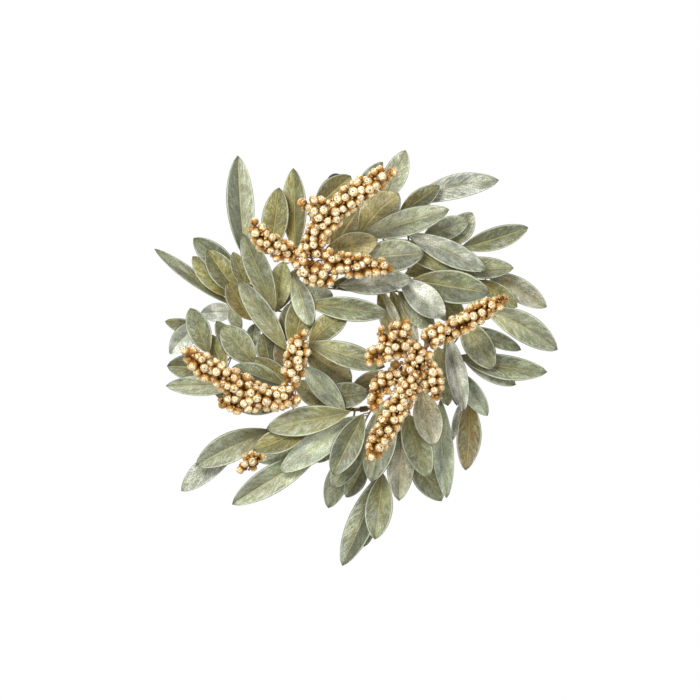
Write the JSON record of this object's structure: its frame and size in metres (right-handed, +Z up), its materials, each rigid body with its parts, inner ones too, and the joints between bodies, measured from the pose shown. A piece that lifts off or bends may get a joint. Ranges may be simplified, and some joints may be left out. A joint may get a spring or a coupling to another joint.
{
  "type": "berry wreath",
  "caption": "Artificial wall wreath: silver-green leaf picks and gold berry branches taped onto a wire ring, with a hinged wire loop behind the top to hang it by.",
  "frame": {"origin": "inside of the hanging loop's top, where the nail bears, at the depth of the loop's wire", "axes": "+Z up, -Y out of the front of the wreath, +Y towards the wall, +X to the right of someone who faces the front"},
  "size_m": [0.405, 0.1, 0.418],
  "materials": {
    "leaf_sage": "satin sage green with a faint silver sheen",
    "leaf_mint": "satin pale silver-green",
    "leaf_olive": "satin olive with copper mottling",
    "berry_gold": "champagne gold metallic coating",
    "tape": "dark brown floral tape",
    "ring_wire": "brown coated steel wire",
    "loop_wire": "black coated steel wire"
  },
  "bodies": {
    "wreath": {"ring_wire": "ring_wire", "leaf_pick_upper_left_outer": "leaf_sage", "leaf_pick_left_outer": "leaf_olive", "leaf_pick_left_lower": "leaf_mint", "leaf_pick_lower_left_outer": "leaf_sage", "leaf_pick_bottom_left_outer": "leaf_mint", "leaf_pick_bottom_outer": "leaf_sage", "leaf_pick_right_lower": "leaf_olive", "leaf_pick_right_upper_outer": "leaf_sage", "leaf_pick_top_right_outer": "leaf_mint", "leaf_pick_top_outer": "leaf_sage", "leaf_pick_top_left": "leaf_olive", "leaf_pick_bottom_right": "leaf_sage", "leaf_pick_upper_right": "leaf_olive", "leaf_pick_right": "leaf_mint", "leaf_pick_top": "leaf_sage", "leaf_pick_left": "leaf_olive", "leaf_pick_upper_left": "leaf_mint", "leaf_pick_inner_left": "leaf_sage", "leaf_pick_inner_right": "leaf_mint", "leaf_pick_inner_top": "leaf_sage", "leaf_pick_bottom": "leaf_mint", "leaf_pick_inner_bottom": "leaf_sage", "berry_branch_lower_left": "berry_gold", "berry_branch_left": "berry_gold", "berry_branch_left_upper": "berry_gold", "berry_branch_left_lower": "berry_gold", "berry_branch_top": "berry_gold", "berry_branch_top_left": "berry_gold", "berry_branch_top_right": "berry_gold", "berry_branch_right": "berry_gold", "berry_branch_right_upper": "berry_gold", "berry_branch_inner_right": "berry_gold", "berry_branch_inner_lower": "berry_gold", "tape_upper_left_outer_leaves": "tape", "tape_left_outer_leaves": "tape", "tape_left_lower_leaves": "tape", "tape_lower_left_outer_leaves": "tape", "tape_bottom_left_outer_leaves": "tape", "tape_bottom_outer_leaves": "tape", "tape_right_lower_leaves": "tape", "tape_right_upper_outer_leaves": "tape", "tape_top_right_outer_leaves": "tape", "tape_top_outer_leaves": "tape", "tape_top_left_leaves": "tape", "tape_bottom_right_leaves": "tape", "tape_upper_right_leaves": "tape", "tape_right_leaves": "tape", "tape_top_leaves": "tape", "tape_left_leaves": "tape", "tape_upper_left_leaves": "tape", "tape_inner_left_leaves": "tape", "tape_inner_right_leaves": "tape", "tape_inner_top_leaves": "tape", "tape_bottom_leaves": "tape", "tape_inner_bottom_leaves": "tape", "tape_left_berries": "tape", "tape_top_berries": "tape", "tape_right_berries": "tape"},
    "loop": {"hanging_loop": "loop_wire"}
  },
  "joints": [
    {"name": "loop_swing", "type": "hinge", "parent": "wreath", "child": "loop", "pos_m": [0.01133, -0.0067, -0.09231], "axis": [-0.9925, 0, -0.1219], "range_deg": [0, 165]}
  ]
}
